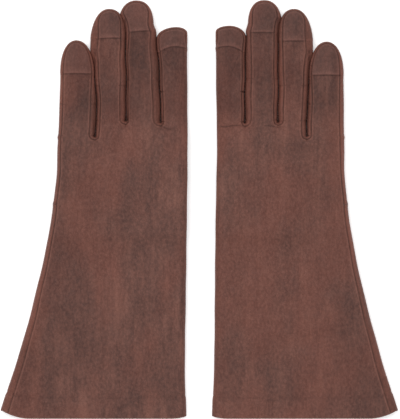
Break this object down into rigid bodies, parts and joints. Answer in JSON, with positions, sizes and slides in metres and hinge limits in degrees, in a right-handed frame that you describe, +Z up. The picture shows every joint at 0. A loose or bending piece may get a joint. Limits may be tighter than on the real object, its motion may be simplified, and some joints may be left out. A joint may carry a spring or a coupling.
{
  "type": "touchscreen gloves",
  "caption": "Pair of long leather gloves with flared cuffs, jointed fingers, side gores and touchscreen leather patches on the fingertips.",
  "frame": {"origin": "middle of the pair on the surface that it lies on, palms down", "axes": "+Z up, +Y from the hems towards the fingertips, +X towards the right glove"},
  "size_m": [0.2648, 0.278, 0.0124],
  "materials": {
    "glove_leather": "matte brown glove leather with a fine grain",
    "strip_leather": "the same leather cut across its grain, a little redder",
    "touch_leather": "conductive brown leather, smoother than the rest",
    "lining_cloth": "fine knitted lining"
  },
  "bodies": {
    "left_cuff": {"left_cuff_trank": "glove_leather", "left_cuff_gore": "strip_leather", "left_cuff_hem": "glove_leather", "left_cuff_lining": "lining_cloth"},
    "left_hand": {"left_hand_trank": "glove_leather", "left_hand_side_strip": "strip_leather", "left_hand_lining": "lining_cloth"},
    "left_index_base": {"left_index_base_sleeve": "glove_leather", "left_index_base_fourchettes": "strip_leather"},
    "left_index_end": {"left_index_end_sleeve": "glove_leather", "left_index_end_fourchette": "strip_leather", "left_index_touch_patch": "touch_leather"},
    "left_middle_base": {"left_middle_base_sleeve": "glove_leather", "left_middle_base_fourchettes": "strip_leather"},
    "left_middle_end": {"left_middle_end_sleeve": "glove_leather", "left_middle_end_fourchette": "strip_leather", "left_middle_touch_patch": "touch_leather"},
    "left_ring_base": {"left_ring_base_sleeve": "glove_leather", "left_ring_base_fourchettes": "strip_leather"},
    "left_ring_end": {"left_ring_end_sleeve": "glove_leather", "left_ring_end_fourchette": "strip_leather", "left_ring_touch_patch": "touch_leather"},
    "left_little_base": {"left_little_base_sleeve": "glove_leather", "left_little_base_fourchettes": "strip_leather"},
    "left_little_end": {"left_little_end_sleeve": "glove_leather", "left_little_end_fourchette": "strip_leather", "left_little_touch_patch": "touch_leather"},
    "left_thumb": {"left_thumb_sleeve": "glove_leather"},
    "left_thumb_end": {"left_thumb_end": "glove_leather", "left_thumb_touch_patch": "touch_leather"},
    "right_cuff": {"right_cuff_trank": "glove_leather", "right_cuff_gore": "strip_leather", "right_cuff_hem": "glove_leather", "right_cuff_lining": "lining_cloth"},
    "right_hand": {"right_hand_trank": "glove_leather", "right_hand_side_strip": "strip_leather", "right_hand_lining": "lining_cloth"},
    "right_index_base": {"right_index_base_sleeve": "glove_leather", "right_index_base_fourchettes": "strip_leather"},
    "right_index_end": {"right_index_end_sleeve": "glove_leather", "right_index_end_fourchette": "strip_leather", "right_index_touch_patch": "touch_leather"},
    "right_middle_base": {"right_middle_base_sleeve": "glove_leather", "right_middle_base_fourchettes": "strip_leather"},
    "right_middle_end": {"right_middle_end_sleeve": "glove_leather", "right_middle_end_fourchette": "strip_leather", "right_middle_touch_patch": "touch_leather"},
    "right_ring_base": {"right_ring_base_sleeve": "glove_leather", "right_ring_base_fourchettes": "strip_leather"},
    "right_ring_end": {"right_ring_end_sleeve": "glove_leather", "right_ring_end_fourchette": "strip_leather", "right_ring_touch_patch": "touch_leather"},
    "right_little_base": {"right_little_base_sleeve": "glove_leather", "right_little_base_fourchettes": "strip_leather"},
    "right_little_end": {"right_little_end_sleeve": "glove_leather", "right_little_end_fourchette": "strip_leather", "right_little_touch_patch": "touch_leather"},
    "right_thumb": {"right_thumb_sleeve": "glove_leather"},
    "right_thumb_end": {"right_thumb_end": "glove_leather", "right_thumb_touch_patch": "touch_leather"}
  },
  "joints": [
    {"name": "left_wrist", "type": "hinge", "parent": "left_cuff", "child": "left_hand", "pos_m": [-0.056, -0.035, 0.0062], "axis": [-1, 0, 0], "range_deg": [-50, 60]},
    {"name": "left_index_knuckle", "type": "hinge", "parent": "left_hand", "child": "left_index_base", "pos_m": [-0.01955, 0.058, 0.0062], "axis": [-1, 0, 0], "range_deg": [-30, 80]},
    {"name": "left_index_middle_joint", "type": "hinge", "parent": "left_index_base", "child": "left_index_end", "pos_m": [-0.01955, 0.08616, 0.0062], "axis": [-1, 0, 0], "range_deg": [-10, 90]},
    {"name": "left_middle_knuckle", "type": "hinge", "parent": "left_hand", "child": "left_middle_base", "pos_m": [-0.04052, 0.059, 0.0062], "axis": [-1, 0, 0], "range_deg": [-30, 80]},
    {"name": "left_middle_middle_joint", "type": "hinge", "parent": "left_middle_base", "child": "left_middle_end", "pos_m": [-0.04052, 0.0942, 0.0062], "axis": [-1, 0, 0], "range_deg": [-10, 90]},
    {"name": "left_ring_knuckle", "type": "hinge", "parent": "left_hand", "child": "left_ring_base", "pos_m": [-0.06178, 0.056, 0.0062], "axis": [-1, 0, 0], "range_deg": [-30, 80]},
    {"name": "left_ring_middle_joint", "type": "hinge", "parent": "left_ring_base", "child": "left_ring_end", "pos_m": [-0.06178, 0.0901, 0.0062], "axis": [-1, 0, 0], "range_deg": [-10, 90]},
    {"name": "left_little_knuckle", "type": "hinge", "parent": "left_hand", "child": "left_little_base", "pos_m": [-0.08365, 0.05, 0.0062], "axis": [-1, 0, 0], "range_deg": [-30, 80]},
    {"name": "left_little_middle_joint", "type": "hinge", "parent": "left_little_base", "child": "left_little_end", "pos_m": [-0.08365, 0.07728, 0.0062], "axis": [-1, 0, 0], "range_deg": [-10, 90]},
    {"name": "left_thumb_swing", "type": "hinge", "parent": "left_hand", "child": "left_thumb", "pos_m": [-0.0281, -0.002, 0.00285], "axis": [0, 0, -1], "range_deg": [0, 45]},
    {"name": "left_thumb_bend", "type": "hinge", "parent": "left_thumb", "child": "left_thumb_end", "pos_m": [-0.03494, 0.01679, 0.00285], "axis": [0, 0, 1], "range_deg": [0, 50]},
    {"name": "right_wrist", "type": "hinge", "parent": "right_cuff", "child": "right_hand", "pos_m": [0.056, -0.035, 0.0062], "axis": [-1, 0, 0], "range_deg": [-50, 60]},
    {"name": "right_index_knuckle", "type": "hinge", "parent": "right_hand", "child": "right_index_base", "pos_m": [0.01955, 0.058, 0.0062], "axis": [-1, 0, 0], "range_deg": [-30, 80]},
    {"name": "right_index_middle_joint", "type": "hinge", "parent": "right_index_base", "child": "right_index_end", "pos_m": [0.01955, 0.08616, 0.0062], "axis": [-1, 0, 0], "range_deg": [-10, 90]},
    {"name": "right_middle_knuckle", "type": "hinge", "parent": "right_hand", "child": "right_middle_base", "pos_m": [0.04052, 0.059, 0.0062], "axis": [-1, 0, 0], "range_deg": [-30, 80]},
    {"name": "right_middle_middle_joint", "type": "hinge", "parent": "right_middle_base", "child": "right_middle_end", "pos_m": [0.04052, 0.0942, 0.0062], "axis": [-1, 0, 0], "range_deg": [-10, 90]},
    {"name": "right_ring_knuckle", "type": "hinge", "parent": "right_hand", "child": "right_ring_base", "pos_m": [0.06178, 0.056, 0.0062], "axis": [-1, 0, 0], "range_deg": [-30, 80]},
    {"name": "right_ring_middle_joint", "type": "hinge", "parent": "right_ring_base", "child": "right_ring_end", "pos_m": [0.06178, 0.0901, 0.0062], "axis": [-1, 0, 0], "range_deg": [-10, 90]},
    {"name": "right_little_knuckle", "type": "hinge", "parent": "right_hand", "child": "right_little_base", "pos_m": [0.08365, 0.05, 0.0062], "axis": [-1, 0, 0], "range_deg": [-30, 80]},
    {"name": "right_little_middle_joint", "type": "hinge", "parent": "right_little_base", "child": "right_little_end", "pos_m": [0.08365, 0.07728, 0.0062], "axis": [-1, 0, 0], "range_deg": [-10, 90]},
    {"name": "right_thumb_swing", "type": "hinge", "parent": "right_hand", "child": "right_thumb", "pos_m": [0.0281, -0.002, 0.00285], "axis": [0, 0, 1], "range_deg": [0, 45]},
    {"name": "right_thumb_bend", "type": "hinge", "parent": "right_thumb", "child": "right_thumb_end", "pos_m": [0.03494, 0.01679, 0.00285], "axis": [0, 0, -1], "range_deg": [0, 50]},
    {"name": "pair_lift", "type": "slide", "parent": "left_cuff", "child": "right_cuff", "axis": [0, 0, 1], "range_m": [0, 0.15]}
  ]
}
